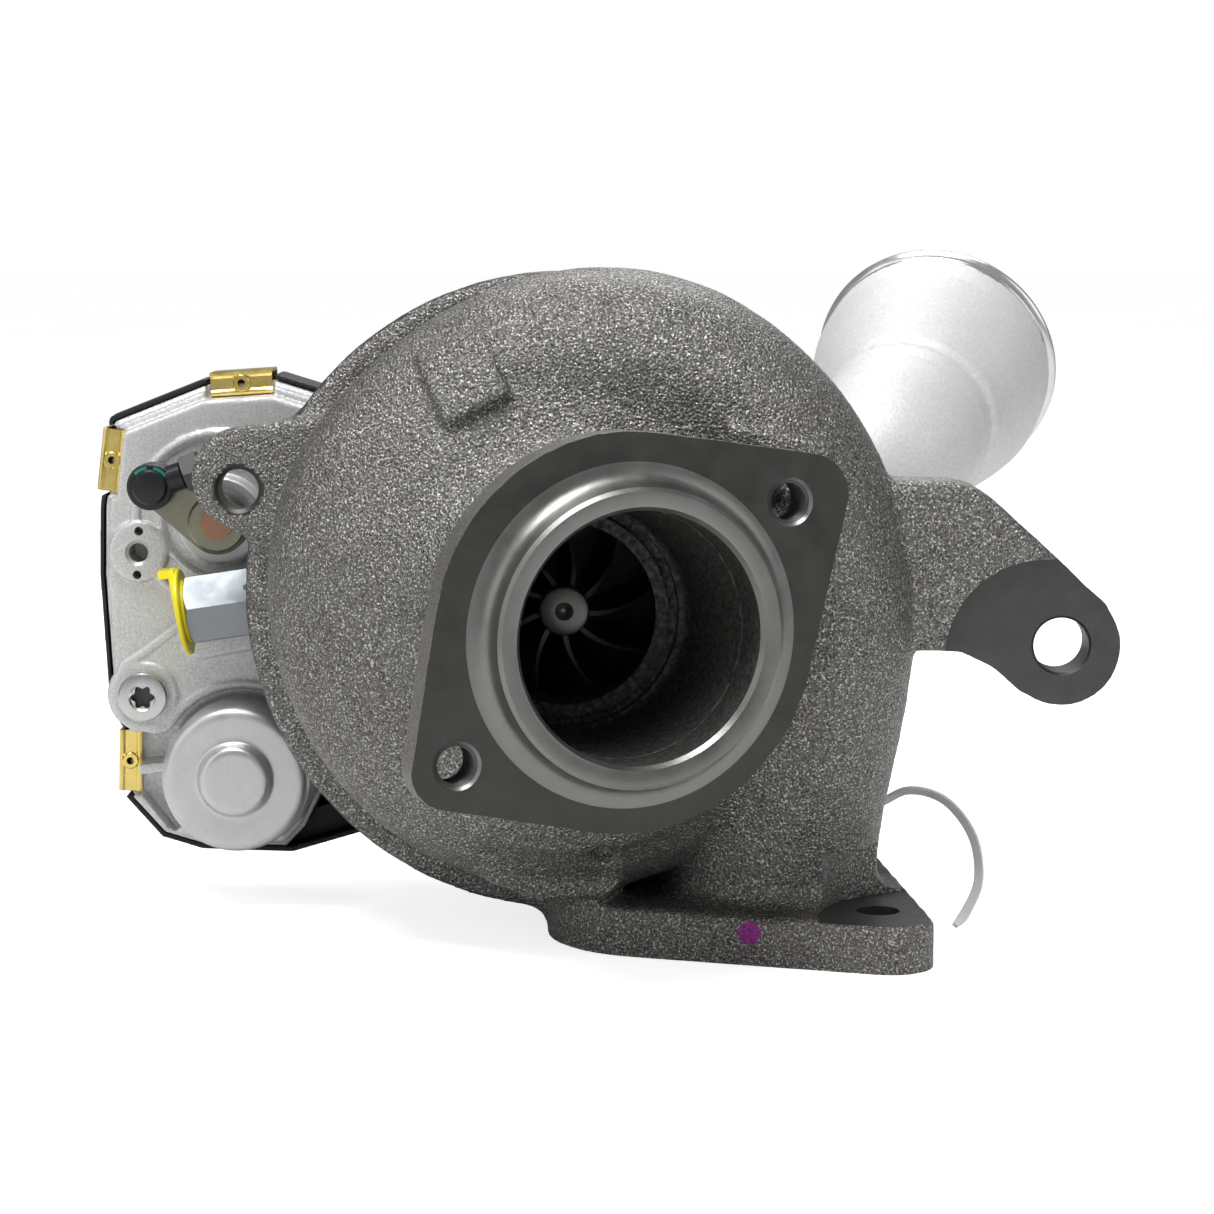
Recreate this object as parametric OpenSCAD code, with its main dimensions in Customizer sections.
// Variable-nozzle turbocharger with an electric rotary actuator.
// Row frame: origin at the centre of the turbine inlet port on the foot's
// bottom face, +Z up out of the foot, +Y along the rotor axis towards the
// compressor, +X to the right when looking along +Y. Millimetres.
// The parts are drawn in the rotor frame: same directions, origin on the rotor
// axis. There a 2D place is [x, z] and a turned profile is a list of [radius, y].

/* [Turbine outlet] */
// Tilt of the outlet flange about the vertical
outlet_tilt = 20; // [18:0.5:22]
// Outer radius of the pilot ring
pilot_r = 34; // [33:0.5:35]
// Bore radius of the outlet
outlet_bore_r = 28.7; // [28:0.1:29.5]
// Tapping radius of the two outlet stud holes
outlet_thread_r = 4.25; // [4:0.05:4.5]

/* [Turbine inlet foot] */
// Thickness of the foot
foot_t = 12; // [11:0.5:14]
// Radius of the inlet port
port_r = 19; // [18:0.5:20]
// Clearance hole radius in the foot
foot_hole_r = 5.25; // [5:0.05:5.5]

/* [Mounting lugs] */
// Hole radius in the right arm
arm_hole_r = 6.65; // [6:0.05:7]
// Hole radius in the left ear
ear_hole_r = 5.0; // [4.5:0.05:5.5]

/* [Rotor] */
// Blades on the turbine wheel
turbine_blades = 9; // [8:1:11]
// Full blades on the compressor wheel
compressor_blades = 6; // [5:1:7]
// Journal radius of the shaft
shaft_r = 4.5; // [4.4:0.02:4.5]

/* [Cold side] */
// Outer radius of the compressor inlet tube
comp_inlet_r = 31; // [30:0.5:32]
// Outer radius of the flared outlet mouth
comp_mouth_r = 33.6; // [33:0.2:34]

/* [Hidden] */
$fn = 72;

// ---------- helpers ----------
function polar(r, a) = r*[cos(a), sin(a)];
function radial(a) = [cos(a), 0, sin(a)];
function smooth(t) = t*t*(3 - 2*t);
function mix(a, b, t) = a + (b - a)*t;
function unit(v) = v/norm(v);
// direction of a 2D vector
function heading(v) = atan2(v[1], v[0]);
// closed ring of points in the plane of two unit vectors
function ring_points(centre, across, along, r, count) =
  [for (i = [0:count-1]) let (a = 360*i/count) centre + r*cos(a)*across + r*sin(a)*along];

// rotor frame to row frame
module row_frame() translate(-inlet_port) children();
module place(y, at) translate([at[0], y, at[1]]) children();
// cylinder along Y
module rod(r, y0, y1, at = [0, 0]) place(y0, at) rotate([-90, 0, 0]) cylinder(r = r, h = y1 - y0);
// cylinder along Z, at [x, y]
module column(r, z0, z1, at = [0, 0])
  translate([at[0], at[1], z0]) cylinder(r = r, h = z1 - z0);
module tube(outer_r, inner_r, y0, y1, at = [0, 0]) difference() {
  rod(outer_r, y0, y1, at);
  rod(inner_r, y0 - 1, y1 + 1, at);
}
// revolve of a profile about the rotor axis
module turned(profile) rotate([-90, 0, 0]) rotate_extrude() polygon(profile);
// 2D (x, z) shape from y0 to y1
module plate(y0, y1) translate([0, y1, 0]) rotate([90, 0, 0]) linear_extrude(y1 - y0) children();
module disc(at, r) translate(at) circle(r = r);
module hex_bolt(r, flats, y0, seat_y, y1, at) {
  rod(r, y0, seat_y, at);
  rod(flats/2/cos(30), seat_y, y1, at, $fn = 6);
}
// skin through sections that all have the same number of points
module loft(sections) {
  n = len(sections[0]);
  m = len(sections);
  polyhedron(
    points = [for (s = sections) each s],
    faces = concat(
      [[for (i = [0:n-1]) i]],
      [[for (i = [n-1:-1:0]) (m-1)*n + i]],
      [for (k = [0:m-2]) for (i = [0:n-1]) [k*n+i, (k+1)*n+i, (k+1)*n+(i+1)%n]],
      [for (k = [0:m-2]) for (i = [0:n-1]) [k*n+i, (k+1)*n+(i+1)%n, k*n+(i+1)%n]]),
    convexity = 10);
}

// ---------- shared places ----------
inlet_port = [48, 84, -85];
foot_z = inlet_port.z;
outlet_x = 18.4; // outlet ring centre to the right of the rotor axis
turbine_bolt_places = [for (a = [20, 75, 112, 214, 268, 325]) polar(70, a)];
compressor_bolt_places = [for (a = [10, 70, 115, 190, 250, 310]) polar(48, a)];
bracket_bolt_places = [[-41, -19], [-34, -37]];

// actuator linkage: two equal levers joined by a parallel rod
output_axis = [-90, 15];
lever_len = 18.75;
lever_angle = 147.4;
link_angle = 20;
link_len = 45;
actuator_ball = output_axis + polar(lever_len, lever_angle);
crank_axis = output_axis + polar(link_len, link_angle);
crank_ball = actuator_ball + polar(link_len, link_angle);
crank_heading = heading(crank_axis);

// ---------- turbine housing ----------
volute_wall = 4.6;
foot_holes = [[75.9, 55.9], [12, 80], [68, 117.5]];        // x, y
outlet_stud_places = [[38.1, 29.0], [-41.4, -27.1]];       // x, y in the outlet frame
ear_hole = [-81, 26.3];
arm_hole = [119.4, -9];
arm_face = [114.9, -11.8];
arm_face_r = 23.8;
dome_profile = [[0, 38], [36, 38], [48, 41], [57, 47], [63, 56], [66, 66], [68, 78],
  [80, 86], [80, 96], [0, 96]];
// wheel contour, nozzle pocket and bearing housing recess
turbine_bore_profile = [[0, 30], [21.8, 30], [21.8, 60], [22.6, 65], [25.7, 68.5],
  [51, 68.5], [51, 85], [62, 85], [62, 97], [0, 97]];
// radius, distance out along the outlet axis
outlet_ring_profile = [[20, -17], [38.5, -17], [38.5, -7], [36.2, -6.2], [34.6, -4.6],
  [pilot_r, -2], [pilot_r, -0.8], [pilot_r - 0.8, 0], [20, 0]];
arm_outline = [[58, 31.1], [92.4, 30.6], [97.4, 29.4], [101.6, 27], [118.4, 11.9],
  [129.8, 0.4], [119.4, -9.2], [110.2, -19.8], [102.6, -14.1], [95.3, -10.5], [58, -9.2]];

// volute at angle a: section radius, outermost radius and centre
function volute_r(a) = a < 60 ? 24 - a/60
  : a < 180 ? 23 - 6*smooth((a - 60)/120)
  : 17 - 3*smooth((a - 180)/120);
function volute_reach(a) = a < 50 ? 84
  : a < 180 ? 84 - 10*smooth((a - 50)/130)
  : 74 - 0.5*(a - 180)/120;
function volute_centre(a) =
  (volute_reach(a) - volute_r(a))*radial(a) + [0, 63 + 7*smooth(a/300), 0];
function volute_section(a, wall) =
  ring_points(volute_centre(a), radial(a), [0, 1, 0], volute_r(a) - wall, 20);
// inlet duct from height z0 up to the start of the volute, t from 0 to 1
function duct_section(t, wall, z0) = let (
    s = smooth(t),
    end = volute_centre(0),
    centre = [mix(inlet_port.x, end.x, s), mix(inlet_port.y, end.y, s), mix(z0, 0, t)])
  ring_points(centre, [1, 0, 0], [0, 1, 0], mix(24.5, volute_r(0), t) - wall, 20);
module volute(wall, z0) loft(concat(
  [for (k = [0:4]) duct_section(k/5, wall, z0)],
  [for (a = [0:15:270]) volute_section(a, wall)]));

// outlet frame: z out of the outlet, y up
module outlet_frame()
  translate([outlet_x, 0, 0]) rotate([0, 0, outlet_tilt]) rotate([90, 0, 0]) children();
module outlet_neck() outlet_frame() {
  column(35.6, -50, -10);
  translate([0, 0, -17]) linear_extrude(10) hull() {
    disc([-1, 0.5], 45.5);
    disc([43, 30.3], 9.6);
    disc([-43.6, -28.6], 8.4);
  }
  rotate_extrude() polygon(outlet_ring_profile);
}
module outlet_cuts() outlet_frame() {
  column(outlet_bore_r, -44, 1);
  translate([0, 0, -1.2]) cylinder(r1 = outlet_bore_r, r2 = outlet_bore_r + 1.6, h = 1.3);
  for (p = outlet_stud_places) {
    column(outlet_thread_r, -40, 0, p);
    translate([p[0], p[1], -7.9]) cylinder(r1 = outlet_thread_r, r2 = 5.2, h = 0.95);
  }
}
module foot() {
  translate([0, 0, foot_z]) linear_extrude(foot_t) hull() {
    disc([77.5, 47.4], 11);
    disc([28, 84], 30);
    disc([70, 118], 12);
  }
  // block on the compressor side of the foot
  translate([67, 98, -76]) cube([7, 12, 12]);
}
module foot_cuts() {
  column(port_r, foot_z - 1, foot_z + 8, [inlet_port.x, inlet_port.y]);
  for (p = foot_holes) column(foot_hole_r, foot_z - 1, foot_z + 12.5, p);
  // machined seats for the foot nuts
  column(34.5, -73.6, -59.6, [95, 45.5]);
  for (i = [1, 2]) column(9.5, foot_z + foot_t, foot_z + foot_t + 9.6, foot_holes[i]);
}
module left_ear() plate(84, 94) hull() {
  disc([-80, 29], 12.6);
  disc([-62, 26], 18);
}
module right_arm() plate(55, 72) {
  polygon(arm_outline);
  disc([119.4, -9.2], 14.2);
}
module dome_pads() {
  translate([-23.45, 0, 55.85]) rotate([0, -26.5, 0])
    translate([-8.5, 41.2, -10.3]) cube([17, 20, 20.6]);
  rotate([0, -38, 0]) translate([48, 38.2, -8.2]) cube([16, 22, 16.6]);
}
// small tab to the left of the foot
module lower_tab() plate(58, 70) hull() {
  disc([-16, -69], 7);
  disc([-8, -76], 5);
  disc([8, -70], 8);
}
module turbine_housing() row_frame() color([0.36, 0.35, 0.34]) difference() {
  union() {
    volute(0, foot_z + 1);
    turned(dome_profile);
    outlet_neck();
    foot();
    left_ear();
    right_arm();
    dome_pads();
    lower_tab();
  }
  volute(volute_wall, foot_z + 7);
  turned(turbine_bore_profile);
  outlet_cuts();
  foot_cuts();
  rod(ear_hole_r, 80, 98, ear_hole);
  rod(arm_hole_r, 50, 80, arm_hole);
  // milled faces on both sides of the arm
  rod(arm_face_r, 50, 57.2, arm_face);
  rod(arm_face_r, 69.8, 75, arm_face);
  // room for the bearing housing flange and its bolts
  rod(77.6, 96, 112);
  for (p = turbine_bolt_places) rod(3.0, 87.5, 97, p);
}

// ---------- variable nozzle ----------
vane_count = 9;
vane_pitch = 360/vane_count;
vane_phase = 7.5;
vane_pivot_r = 36;
vane_set = 35;      // vane chord from the tangent
vane_arm = 8;
crank_arm = 8.5;
nozzle_y0 = 71.5;   // gas gap between shroud and nozzle ring
nozzle_y1 = 79;
arm_y0 = 85.2;      // plane of the arms and the unison ring
arm_y1 = 87.7;
guide_pin_r = 1.6;

function vane_angle(k) = vane_phase + vane_pitch*k;
// three places midway between vane pivots
function between_vanes(r) =
  [for (j = [0:2]) polar(r, vane_phase + vane_pitch/2 + 120*j)];
guide_pin_places = between_vanes(39.5);

// vane aerofoil, chord position and half thickness at t from 0 to 1
function chord_x(t) = mix(-9.2, 10, t);
function foil_half(t, depth) = 0.15 + depth*sqrt(t + 0.02)*(1 - t);
foil_steps = 10;
vane_foil = concat(
  [for (i = [0:foil_steps]) let (t = i/foil_steps) [chord_x(t), foil_half(t, 2.7125)]],
  [for (i = [foil_steps:-1:0]) let (t = i/foil_steps) [chord_x(t), -foil_half(t, 1.56)]]);

// arm with a round tip that sits in a slot of the unison ring
module slot_arm(at, angle, length, hub_r, width, tip_r)
  plate(arm_y0, arm_y1) translate(at) rotate(angle) {
    circle(r = hub_r);
    translate([0, -width/2]) square([length, width]);
    translate([length, 0]) circle(r = tip_r);
  }

module nozzle_shroud() row_frame() color([0.45, 0.44, 0.44]) tube(50, 27, 68.5, nozzle_y0);
module nozzle_ring() row_frame() color([0.45, 0.44, 0.44]) difference() {
  tube(51, 27, nozzle_y1, 84);
  for (k = [0:vane_count-1]) rod(1.86, 60, 100, polar(vane_pivot_r, vane_angle(k)));
  for (p = guide_pin_places) rod(guide_pin_r, 80.5, 85, p);
}
module nozzle_spacers() row_frame() color([0.6, 0.6, 0.6])
  for (p = between_vanes(46.9)) rod(2.4, nozzle_y0, nozzle_y1, p);
module vane(k) {
  angle = vane_angle(k);
  pivot = polar(vane_pivot_r, angle);
  row_frame() color([0.5, 0.49, 0.48]) {
    plate(nozzle_y0 + 0.1, nozzle_y1 - 0.1)
      translate(pivot) rotate(angle + 90 + vane_set) polygon(vane_foil);
    rod(1.8, 78.8, arm_y1, pivot);
    slot_arm(pivot, angle, vane_arm, hub_r = 3.2, width = 2, tip_r = 1.95);
  }
}
module unison_ring() row_frame() color([0.52, 0.5, 0.48]) plate(arm_y0, arm_y1) difference() {
  circle(r = 50.6);
  circle(r = 41.2);
  for (k = [0:vane_count-1]) rotate(vane_angle(k)) translate([40, -2.08]) square([6.7, 4.16]);
  rotate(crank_heading) translate([45.0, -2.42]) square([7, 4.84]);
}
module ring_guide_pins() row_frame() color([0.65, 0.65, 0.65])
  for (p = guide_pin_places) rod(guide_pin_r, 80.5, 88.6, p);

// ---------- crank and levers ----------
crank_shaft_r = 3;
crank_bush_r = 5;
output_shaft_r = 4;
lever_y0 = 114;
lever_y1 = 118;
ball_y = 107.5;
ball_r = 4;
stud_r = 2.4;

// lever from the shaft at hub to the stud at tip
module lever(hub, tip, eye_r, hub_r, hub_y0, hub_y1, bore_r) difference() {
  union() {
    plate(lever_y0, lever_y1) {
      disc(hub, eye_r);
      disc(tip, 5.5);
      translate(hub) rotate(lever_angle) translate([0, -4.6]) square([lever_len, 9.2]);
    }
    rod(hub_r, hub_y0, hub_y1, hub);
  }
  rod(bore_r, 105, 125, hub);
  rod(stud_r, 105, 125, tip);
}
module ball(r, at) place(ball_y, at) rotate([90, 0, 0]) sphere(r = r);
module ball_stud(at) {
  ball(ball_r, at);
  rod(stud_r, ball_y, 118.8, at);
  rod(3.3, 113, lever_y0, at);
  rod(3.6, lever_y1, 119.2, at);
}

module crank_shaft() row_frame() color([0.55, 0.54, 0.52]) {
  rod(crank_shaft_r, arm_y0, 118.4, crank_axis);
  slot_arm(crank_axis, crank_heading + 180, crank_arm, hub_r = 4.4, width = 2.1, tip_r = 2.2);
}
module crank_bush() row_frame() color([0.6, 0.5, 0.35])
  tube(crank_bush_r, crank_shaft_r + 0.05, 88.6, 110.5, crank_axis);
module crank_lever() row_frame() color([0.3, 0.29, 0.28])
  lever(crank_axis, crank_ball, eye_r = 7, hub_r = 7, hub_y0 = 111.5, hub_y1 = 118,
    bore_r = crank_shaft_r);
module crank_ball_stud() row_frame() color([0.7, 0.7, 0.7]) ball_stud(crank_ball);

// ---------- rotor ----------
// wheel hub, piston ring groove, journal and compressor stub
turbine_shaft_profile = [[0, 50.9], [2, 50.6], [4.6, 51.4], [5.9, 53], [6.2, 56], [7.2, 63],
  [9.5, 70], [14, 76.5], [20, 79.6], [24.4, 80.2], [24.4, 81], [11, 81.2], [8.4, 81.6],
  [8.4, 86], [6.7, 86], [6.7, 87.6], [8.4, 87.6], [8.4, 91], [shaft_r, 92], [shaft_r, 131],
  [3, 131], [3, 193], [0, 193]];
// blade outlines: radius, y
turbine_blade = [[5, 55], [21.2, 54], [21.4, 60], [22.2, 65], [24.9, 71.6], [24.9, 80.1],
  [19, 79.7], [12, 75], [6, 62]];
heat_shield_profile = [[9.4, 81.9], [26.9, 81.9], [26.9, 84.2], [25.9, 84.2], [25.9, 82.7],
  [9.4, 82.7]];

// flat radial blades evenly spaced about the rotor axis
module blades(count, thickness, start, outline)
  for (k = [0:count-1]) rotate([0, start + 360/count*k, 0])
    translate([0, 0, -thickness/2]) linear_extrude(thickness) polygon(outline);

module turbine_wheel_shaft() row_frame() color([0.33, 0.31, 0.3]) {
  difference() {
    turned(turbine_shaft_profile);
    // centre drilling in the nose
    translate([0, 50, 0]) rotate([-90, 0, 0]) cylinder(r1 = 2.2, r2 = 0.5, h = 2.4);
  }
  blades(turbine_blades, 1.1, -20, turbine_blade);
}
module turbine_piston_ring() row_frame() color([0.5, 0.5, 0.5]) tube(8.6, 6.8, 86.1, 87.5);
module heat_shield() row_frame() color([0.5, 0.46, 0.42]) turned(heat_shield_profile);
module turbine_bolts() row_frame() color([0.42, 0.4, 0.38])
  for (p = turbine_bolt_places) {
    hex_bolt(3.0, 11, 88, 103.7, 109, p);
    rod(6.4, 102.5, 103.7, p);
  }

// ---------- bearing housing ----------
bearing_r = 8;
locating_pin_r = 1.45;
drain_y = 121;
drain_z = -46;
drain_bolt_x = 20; // either side of the drain
bearing_housing_profile = [[0, 84.2], [26.8, 84.2], [26.8, 89], [61.9, 89], [61.9, 96],
  [76, 96], [76, 102.5], [40, 102.5], [31, 106], [28, 112], [26, 122], [27, 132], [34, 138],
  [52, 141], [52, 148], [0, 148]];
// bearing bore and oil spaces
bearing_bore_profile = [[0, 80], [8.6, 80], [8.6, 94], [13, 95], [13, 99], [bearing_r, 100],
  [bearing_r, 127], [13, 128], [18, 129], [18, 141], [22, 142], [22, 149], [0, 149]];
thrust_collar_profile = [[3, 131], [7, 131], [7, 134.9], [5, 134.9], [5, 137.6], [7, 137.6],
  [7, 141], [3, 141]];
oil_flinger_profile = [[3, 141], [7.6, 141], [9.5, 142.2], [9.5, 144], [7, 145], [7, 149.5],
  [5.6, 149.5], [5.6, 151], [7, 151], [7, 155.4], [3, 155.4]];
seal_plate_profile = [[7.06, 148], [12, 148], [12, 145.5], [21.9, 145.5], [21.9, 148],
  [44, 148], [44, 150.2], [42.4, 150.2], [42.4, 152.6], [44, 152.6], [44, 155], [7.06, 155]];

// oil inlet frame: z runs left out of the housing and slightly down
module oil_frame() translate([-36, 109, 2.1]) rotate([0, -98.5, 0]) children();
module drain_boss() {
  column(13, drain_z, -16, [0, drain_y]);
  translate([0, drain_y, drain_z]) linear_extrude(8) hull() {
    for (side = [-1, 1]) disc([side*drain_bolt_x, 0], 8);
    circle(r = 14);
  }
}
module drain_cuts() {
  column(7.5, drain_z - 1, -18, [0, drain_y]);
  column(6.2, -19, -7, [0, drain_y]);
  for (side = [-1, 1]) column(3.4, drain_z - 1, -35, [side*drain_bolt_x, drain_y]);
}
module bearing_housing() row_frame() color([0.4, 0.39, 0.37]) difference() {
  union() {
    turned(bearing_housing_profile);
    rod(8, 100, 110.5, crank_axis);
    oil_frame() column(11, -20, 0);
    for (p = bracket_bolt_places) rod(7, 100, 120.6, p);
    drain_boss();
  }
  // oil inlet clearance in the flange, threaded hole and oil drilling
  oil_frame() {
    column(11.6, 0, 60);
    column(6, -14, 6);
    column(2, -30, -10);
  }
  rod(crank_bush_r, 80, 115, crank_axis);
  turned(bearing_bore_profile);
  drain_cuts();
  column(locating_pin_r, -10.4, -5.4, [0, 104]);
  for (p = bracket_bolt_places) rod(2.5, 108, 121, p);
  for (p = turbine_bolt_places) rod(3.3, 90, 104, p);
  for (p = compressor_bolt_places) {
    rod(2.7, 139, 149, p);
    rod(5.6, 132, 141, p);
  }
}
module journal_bearing() row_frame() color([0.72, 0.58, 0.3]) difference() {
  tube(bearing_r, shaft_r + 0.04, 100.5, 126.5);
  turned([[5.5, 109], [9, 109], [9, 118], [5.5, 118]]);
  column(1.5, -9, -5, [0, 104]);
}
module bearing_pin() row_frame() color([0.6, 0.6, 0.6])
  column(locating_pin_r, -10.4, -5.8, [0, 104]);
module thrust_collar() row_frame() color([0.7, 0.7, 0.7]) turned(thrust_collar_profile);
module thrust_bearing() row_frame() color([0.72, 0.58, 0.3]) difference() {
  tube(18, 5.06, 135, 137.5);
  translate([-20, 130, -20]) cube([40, 10, 9]);
}
module oil_flinger() row_frame() color([0.7, 0.7, 0.7]) turned(oil_flinger_profile);
module seal_plate() row_frame() color([0.62, 0.63, 0.64]) turned(seal_plate_profile);
module seal_plate_o_ring() row_frame() color([0.08, 0.08, 0.08])
  rotate([-90, 0, 0]) translate([0, 0, 151.4]) rotate_extrude() disc([43.3, 0], 0.68);
module compressor_piston_ring() row_frame() color([0.5, 0.5, 0.5])
  tube(7.06, 5.7, 149.6, 150.9);
module oil_inlet_fitting() row_frame() color([0.75, 0.77, 0.78]) oil_frame() difference() {
  union() {
    column(6, -12, 2);
    column(8, 1.5, 23.5);
    column(9.6, 23, 61.5, $fn = 6);
  }
  column(2.5, -13, 67);
  column(5, 45, 65);
}
module oil_fitting_washer() row_frame() color([0.72, 0.42, 0.25]) oil_frame() difference() {
  column(9, 0, 1.5);
  column(6, -1, 3);
}
// plug with a flange and a pull tab
module oil_inlet_cap() row_frame() color([0.95, 0.82, 0.1]) oil_frame() {
  column(4.9, 52, 62);
  column(8, 61.5, 62.7);
  column(11.3, 62.2, 63.6);
  translate([-11.5, -5, 63]) {
    cube([13, 10, 1.8]);
    cube([2.2, 10, 4.6]);
  }
}

// ---------- cold side ----------
compressor_hub_profile = [[3, 155.4], [26.8, 155.6], [27, 156.2], [20, 157.4], [13, 161],
  [9, 168], [7, 178], [6.4, 184], [3, 184]];
// edge shared by the full and the splitter blades
blade_edge = [[21, 168], [24, 161], [26.9, 158.6], [26.9, 155.8], [14, 157], [8, 167]];
full_blade = concat([[6.6, 181], [19.6, 181], [19.8, 175]], blade_edge);
splitter_blade = concat([[7.6, 173], [19.9, 173]], blade_edge);
compressor_body_profile = [[26, 148], [52, 148], [52, 158], [46, 164], [44, 180], [36, 190],
  [comp_inlet_r, 192], [comp_inlet_r, 205.5], [comp_inlet_r - 1, 207], [26, 207]];
compressor_bore_profile = [[0, 147], [44.05, 147], [44.05, 158.6], [27.4, 158.6],
  [24.4, 161.2], [21.4, 168], [20.2, 175], [20.1, 186], [25.6, 196], [25.6, 208], [0, 208]];

scroll_wall = 4;
scroll_end = -24; // angle where the scroll passes into the elbow
mouth_centre = [107.1, 236.5, 50.8];
pipe_start = [93.7, 191.6, 35.2];
pipe_len = norm(mouth_centre - pipe_start);
pipe_dir = unit(mouth_centre - pipe_start);
// radius, distance along the pipe
pipe_profile = [[17, -7], [24.7, -7], [24.7, 4], [comp_mouth_r - 1, 28], [comp_mouth_r, 34],
  [comp_mouth_r, pipe_len - 3.4], [comp_mouth_r + 1.5, pipe_len - 2.4],
  [comp_mouth_r + 1.5, pipe_len - 1], [comp_mouth_r + 0.4, pipe_len], [18, pipe_len]];
pipe_bore_profile = [[0, -8], [20.6, -8], [20.6, 4], [comp_mouth_r - 3.5, 28],
  [comp_mouth_r - 2.2, 34], [comp_mouth_r - 2.2, pipe_len + 1], [0, pipe_len + 1]];

function scroll_r(a) = 19 - 8*smooth(-a/330);
function scroll_centre(a) = 46*radial(a) + [0, 157.5 + scroll_r(a) - 4, 0];
function scroll_section(a, wall) =
  ring_points(scroll_centre(a), radial(a), [0, 1, 0], scroll_r(a) - wall, 14);

// elbow: a cubic Bezier curve up out of the scroll and round to the pipe
elbow = [scroll_centre(scroll_end), [54, 164, 4], pipe_start - 32*pipe_dir, pipe_start];
elbow_ref = [1, 0, -0.445]; // near the radial direction at the scroll's end
function bezier(P, t) =
  pow(1-t, 3)*P[0] + 3*pow(1-t, 2)*t*P[1] + 3*(1-t)*t*t*P[2] + t*t*t*P[3];
function bezier_slope(P, t) =
  3*pow(1-t, 2)*(P[1] - P[0]) + 6*(1-t)*t*(P[2] - P[1]) + 3*t*t*(P[3] - P[2]);
// the section frame turns with the path
function elbow_section(t, wall) = let (
    along = unit(bezier_slope(elbow, t)),
    across = unit(elbow_ref - (elbow_ref*along)*along),
    r = mix(scroll_r(scroll_end), 24.0, smooth(t)) - wall)
  ring_points(bezier(elbow, t), across, cross(along, across), r, 14);
module scroll(wall, start, elbow_part) loft(concat(
  [for (a = [start:24:-38]) scroll_section(a, wall)],
  [for (k = [0:6]) elbow_section(k/6*elbow_part, wall)]));
// pipe frame: z along the outlet pipe
module pipe_frame()
  translate(pipe_start) rotate([0, 0, -atan2(pipe_dir.x, pipe_dir.y)])
    rotate([-90 + asin(pipe_dir.z), 0, 0]) children();

module compressor_wheel() row_frame() color([0.75, 0.76, 0.78]) {
  turned(compressor_hub_profile);
  blades(compressor_blades, 0.8, 0, full_blade);
  blades(compressor_blades, 0.8, 30, splitter_blade);
}
module compressor_nut() row_frame() color([0.5, 0.5, 0.52]) difference() {
  rod(5.8, 184, 190, $fn = 6);
  rod(3, 180, 195);
}
module compressor_housing() row_frame() color([0.74, 0.75, 0.76]) difference() {
  union() {
    scroll(0, -300, 0.97);
    turned(compressor_body_profile);
    pipe_frame() rotate_extrude() polygon(pipe_profile);
  }
  scroll(scroll_wall, -276, 1);
  pipe_frame() rotate_extrude() polygon(pipe_bore_profile);
  turned(compressor_bore_profile);
  for (p = compressor_bolt_places) rod(2.3, 147, 156.5, p);
}
module compressor_bolts() row_frame() color([0.6, 0.61, 0.62])
  for (p = compressor_bolt_places) {
    rod(2.3, 140.2, 155.5, p);
    rod(4.6, 136, 141, p, $fn = 6);
  }

// ---------- actuator gears ----------
motor_axis = [-85.2, -50.1];
pinion_teeth = 10;
wheel_teeth = 36;
first_module = 1.0;
small_teeth = 12;
sector_teeth = 46;
second_module = 1.5;
first_centres = (pinion_teeth + wheel_teeth)*first_module/2;
second_centres = (small_teeth + sector_teeth)*second_module/2;
// idler axis: where the two centre distances meet
motor_to_output = output_axis - motor_axis;
idler_along = (pow(first_centres, 2) - pow(second_centres, 2) + motor_to_output*motor_to_output)
  /(2*norm(motor_to_output));
idler_aside = sqrt(pow(first_centres, 2) - pow(idler_along, 2));
output_dir = unit(motor_to_output);
idler_axis = motor_axis + idler_along*output_dir
  + idler_aside*[output_dir[1], -output_dir[0]];
first_mesh = heading(idler_axis - motor_axis);
second_mesh = heading(output_axis - idler_axis);
idler_pin_r = 2;

function involute(a) = tan(a)*180/PI - a;
// gear outline with a tooth on +x
function gear_points(teeth, size, backlash) = let (
    pressure = 25,
    steps = 4,
    pitch_r = size*teeth/2,
    base_r = pitch_r*cos(pressure),
    tip_r = pitch_r + 0.8*size,
    root_r = pitch_r - 1.1*size,
    half_tooth = 90/teeth - backlash/2/pitch_r*180/PI,
    // radius, angle from the tooth's centre
    flank = [for (k = [0:steps]) let (r = mix(max(base_r, root_r), tip_r, k/steps))
      [r, half_tooth + involute(pressure) - involute(acos(min(1, base_r/r)))]],
    root_half = flank[0][1])
  [for (i = [0:teeth-1]) let (mid = 360*i/teeth) each concat(
    [polar(root_r, mid - root_half)],
    [for (f = flank) polar(f[0], mid - f[1])],
    [for (k = [steps:-1:0]) polar(flank[k][0], mid + flank[k][1])],
    [polar(root_r, mid + root_half)])];

// ---------- actuator ----------
// outlines (x, z) seen from the turbine end; cover and housing differ at the lower right
function actuator_outline(corner) = concat(
  [[-122.6, 0], [-122.2, 17.5], [-119.4, 40.9], [-95.2, 50.5], [-75.7, 51.8],
    [-64.1, 48.2], [-54, 40], [-53, -10]],
  corner,
  [[-97.1, -73.0], [-107.6, -69.8], [-117.1, -59.1], [-117.6, -41], [-120.8, -32.5]]);
cover_outline = actuator_outline([[-53, -56], [-54.9, -68.4], [-73.4, -73.8]]);
housing_outline = actuator_outline([[-54.5, -36], [-61, -52], [-69, -68], [-74.4, -73.6]]);
outline_middle = [-87, -10];
screw_places = [[-110.4, -30.7], [-57.3, -13.5], [-57.5, 13]];
left_boss = [-111.8, 6.4];
clip_places = [[-85.5, 51.2, 3.8], [-120.8, 30, 83.2], [-117.35, -50, 88.4]]; // x, z, turn
motor_can_r = 16.2;
output_bush_r = 6;
connector_pin_zs = [for (i = [0:4]) -15.5 + 5*i];
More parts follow.
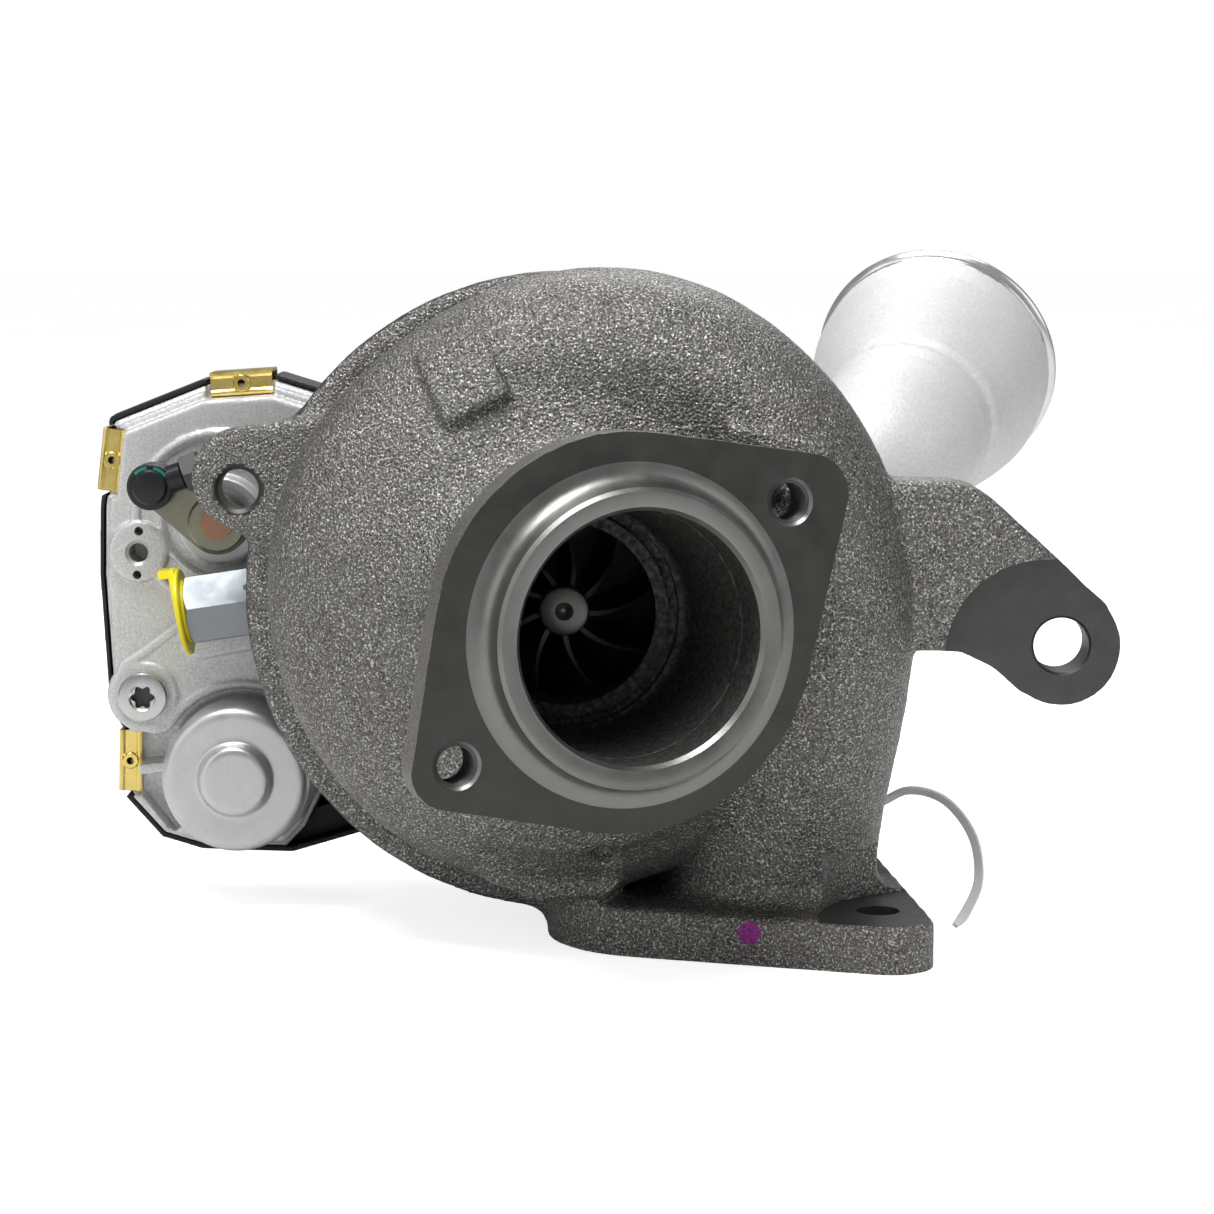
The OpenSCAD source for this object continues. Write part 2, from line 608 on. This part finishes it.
bracket_outline = [[-116.5, -22.5], [-101.4, -11], [-77.2, -9.2], [-74.5, 6], [-66, 20],
  [-50, 22], [-47, -6], [-30, -16], [-28.9, -36], [-28.9, -43], [-33, -45], [-60, -34],
  [-108, -40.5]];

// outline scaled about its middle, from y0 to y1
module slab(y0, y1, outline, factor = 1) plate(y0, y1)
  polygon([for (p = outline) outline_middle + (p - outline_middle)*factor]);
module clip_frame(c) place(0, c) rotate([0, -c[2], 0]) children();
module clip_notches(y0, y1, depth, width = 18) for (c = clip_places)
  clip_frame(c) translate([-width/2, y0, -depth]) cube([width, y1 - y0, 2*depth]);

module actuator_housing() row_frame() color([0.74, 0.74, 0.74]) difference() {
  union() {
    slab(129, 139, housing_outline);
    slab(124.5, 130, housing_outline, 0.93);
    rod(19, 104, 126, motor_axis);
    rod(9.2, 101, 106, motor_axis);
    rod(11.5, 120, 128, output_axis);
    for (p = screw_places) rod(6, 124.6, 133, p);
    rod(7.6, 122.8, 128, left_boss);
  }
  // hollow that leaves the screw posts and clip pockets standing
  difference() {
    slab(128, 140, housing_outline, 0.9);
    for (p = screw_places) rod(5.4, 120, 136, p);
    clip_notches(120, 136.4, 7.2, 22);
  }
  rod(motor_can_r, 106.5, 140, motor_axis);
  rod(output_bush_r, 118, 130, output_axis);
  rod(idler_pin_r, 125.6, 130, idler_axis);
  for (p = screw_places) rod(2.5, 123, 132, p);
  rod(2.3, 121, 126.5, left_boss);
  for (side = [-1, 1]) rod(1.1, 121, 125.5, left_boss + side*[0.3, 5]);
  clip_notches(120, 134.2, 4.6);
}
module actuator_gasket() row_frame() color([0.1, 0.1, 0.1]) difference() {
  slab(139, 140, housing_outline, 0.985);
  slab(138, 141, housing_outline, 0.92);
}
module actuator_cover() row_frame() color([0.06, 0.07, 0.08]) difference() {
  union() {
    slab(140, 148, cover_outline, 1.012);
    slab(147, 154, cover_outline, 0.93);
    // connector shroud
    translate([-106, 152, -22]) cube([24, 21, 34]);
  }
  slab(139, 151.5, cover_outline, 0.88);
  translate([-103.6, 155, -19.6]) cube([19.2, 19, 29.2]);
  for (z = connector_pin_zs) translate([-94.45, 151, z - 0.05]) cube([0.9, 5, 2.1]);
  clip_notches(146, 156, 4.6);
}
module cover_clips() row_frame() color([0.85, 0.68, 0.2])
  for (c = clip_places) clip_frame(c) translate([-8.2, 0, 0]) {
    translate([0, 133.3, -4.2]) cube([16.4, 0.8, 6.2]);
    translate([0, 133.3, 1.2]) cube([16.4, 13.7, 0.8]);
    translate([0, 146.1, -3.2]) cube([16.4, 0.9, 5.2]);
  }
module connector_pins() row_frame() color([0.8, 0.7, 0.4])
  for (z = connector_pin_zs) translate([-94.4, 151.5, z]) cube([0.8, 14, 2]);
module control_board() row_frame() color([0.1, 0.35, 0.2]) {
  slab(143.5, 145.1, cover_outline, 0.82);
  translate([-80, 145, 5]) cube([12, 2.2, 12]);
  translate([-105, 145, -45]) cube([9, 4, 9]);
  translate([-78, 145, -40]) cube([7, 3, 7]);
}
module motor_can() row_frame() color([0.6, 0.6, 0.6]) difference() {
  rod(motor_can_r, 106.5, 126.4, motor_axis);
  rod(14, 108.5, 124.4, motor_axis);
  rod(1.56, 105, 128, motor_axis);
}
module motor_rotor_pinion() row_frame() color([0.62, 0.5, 0.4]) {
  rod(1.5, 107, 131.6, motor_axis);
  rod(11.5, 110, 122.5, motor_axis);
  plate(127.4, 131.6) translate(motor_axis) rotate(first_mesh)
    polygon(gear_points(pinion_teeth, first_module, 0.1));
}
module idler_gear() row_frame() color([0.85, 0.83, 0.78]) difference() {
  union() {
    plate(128.3, 131.2) translate(idler_axis) rotate(first_mesh + 180 + 180/wheel_teeth)
      polygon(gear_points(wheel_teeth, first_module, 0.1));
    plate(131.1, 136.4) translate(idler_axis) rotate(second_mesh)
      polygon(gear_points(small_teeth, second_module, 0.12));
  }
  rod(idler_pin_r + 0.05, 120, 140, idler_axis);
}
module idler_pin() row_frame() color([0.7, 0.7, 0.7]) rod(idler_pin_r, 125.6, 138.6, idler_axis);
// toothed sector on the output shaft
module output_gear_shaft() row_frame() color([0.8, 0.78, 0.72]) {
  plate(131.4, 136.2) translate(output_axis) {
    intersection() {
      rotate(second_mesh + 180 + 180/sector_teeth)
        polygon(gear_points(sector_teeth, second_module, 0.12));
      rotate(second_mesh + 180) polygon([[0, 0], [45, -26], [45, 26]]);
    }
    circle(r = 12);
  }
  rod(8, 128.2, 138, output_axis);
  rod(output_shaft_r, 111.5, 138, output_axis);
}
module output_bush() row_frame() color([0.72, 0.58, 0.3])
  tube(output_bush_r, output_shaft_r + 0.05, 119.4, 128, output_axis);
module actuator_lever() row_frame() color([0.28, 0.27, 0.25])
  lever(output_axis, actuator_ball, eye_r = 8.2, hub_r = 7.6, hub_y0 = 113, hub_y1 = 118.8,
    bore_r = output_shaft_r);
module actuator_ball_stud() row_frame() color([0.7, 0.7, 0.7]) ball_stud(actuator_ball);

// cylinder on the link's centre line, distances from the actuator ball
module link_bar(r, from, to) place(ball_y, actuator_ball) rotate([0, -link_angle, 0])
  rotate([0, 90, 0]) translate([0, 0, from]) cylinder(r = r, h = to - from);
module link_rod() row_frame() color([0.13, 0.13, 0.14]) difference() {
  union() {
    for (p = [actuator_ball, crank_ball]) {
      rod(6, 104.2, 112.4, p);
      rod(4.6, 103, 105, p);
    }
    link_bar(2.9, 5, link_len - 5, $fn = 40);
    link_bar(3.6, 4, 9, $fn = 40);
    link_bar(3.6, link_len - 9, link_len - 4, $fn = 40);
  }
  for (p = [actuator_ball, crank_ball]) {
    ball(ball_r + 0.05, p);
    rod(3.4, 108, 113, p);
  }
}
module lock_nut() row_frame() color([0.25, 0.25, 0.26]) difference() {
  link_bar(5.2, 9, 14, $fn = 6);
  link_bar(2.9, 8, 15, $fn = 40);
}
module actuator_screws() row_frame() color([0.66, 0.66, 0.65])
  for (p = screw_places) difference() {
    union() {
      rod(2.5, 120, 131.5, p);
      rod(6.4, 116.6, 120.6, p);
    }
    rod(2.7, 116, 119, p, $fn = 6);
  }
module actuator_bracket() row_frame() color([0.72, 0.72, 0.71]) difference() {
  union() {
    plate(120.6, 124.5) polygon(bracket_outline);
    rod(9.8, 120.6, 124.5, screw_places[0]);
  }
  rod(21, 115, 130, motor_axis);
  rod(12.5, 115, 130, output_axis);
  rod(30, 115, 130);
  for (p = screw_places) rod(2.9, 115, 130, p);
  for (p = bracket_bolt_places) rod(2.8, 115, 130, p);
}
module bracket_bolts() row_frame() color([0.6, 0.6, 0.6])
  for (p = bracket_bolt_places) hex_bolt(2.5, 8, 109, 124.5, 128.5, p);

// ---------- cable tie ----------
// stations x, y, z along the strap
tie_stations = [[70.5, 110, -60], [80, 112, -58], [88, 108, -53.5], [97, 104, -55.5],
  [103.4, 98, -63.5], [104.2, 90, -73], [100, 81, -79.5], [96.8, 76, -81.8]];
tie_last = len(tie_stations) - 1;
// strap cross-section: across, along its width
tie_section = [[0.55, 1], [-0.55, 1], [-0.7, 0], [-0.55, -1], [0.55, -1], [0.7, 0]];

// Catmull-Rom curve from station k to the next
function catmull_rom(P, k, t) = let (
    a = P[max(0, k-1)], b = P[k], c = P[k+1], d = P[min(len(P)-1, k+2)])
  0.5*((2*b) + (c - a)*t + (2*a - 5*b + 4*c - d)*t*t + (3*b - a - 3*c + d)*t*t*t);
tie_path = concat(
  [for (k = [0:tie_last-1]) for (j = [0:3]) catmull_rom(tie_stations, k, j/4)],
  [tie_stations[tie_last]]);
function tie_ring(i) = let (
    along = unit(tie_path[min(i+1, len(tie_path)-1)] - tie_path[max(i-1, 0)]),
    wide = unit([0, 1, 0] - along.y*along),
    across = cross(wide, along))
  [for (s = tie_section) tie_path[i] + s[0]*across + s[1]*wide];
module cable_tie() row_frame() color([0.93, 0.93, 0.9]) {
  loft([for (i = [0:len(tie_path)-1]) tie_ring(i)]);
  translate([67.5, 107, -63.9]) cube([5, 6, 5]);
}

turbine_housing();
nozzle_shroud();
nozzle_ring();
nozzle_spacers();
vane(0);  // vane_01
vane(1);  // vane_02
vane(2);  // vane_03
vane(3);  // vane_04
vane(4);  // vane_05
vane(5);  // vane_06
vane(6);  // vane_07
vane(7);  // vane_08
vane(8);  // vane_09
unison_ring();
ring_guide_pins();
crank_shaft();
crank_bush();
crank_lever();
crank_ball_stud();
turbine_wheel_shaft();
turbine_piston_ring();
heat_shield();
turbine_bolts();
bearing_housing();
journal_bearing();
bearing_pin();
thrust_collar();
thrust_bearing();
oil_flinger();
seal_plate();
seal_plate_o_ring();
compressor_piston_ring();
oil_inlet_fitting();
oil_fitting_washer();
oil_inlet_cap();
compressor_wheel();
compressor_nut();
compressor_housing();
compressor_bolts();
actuator_housing();
actuator_cover();
actuator_gasket();
cover_clips();
connector_pins();
control_board();
motor_can();
motor_rotor_pinion();
idler_gear();
idler_pin();
output_gear_shaft();
output_bush();
actuator_lever();
actuator_ball_stud();
link_rod();
lock_nut();
actuator_screws();
actuator_bracket();
bracket_bolts();
cable_tie();
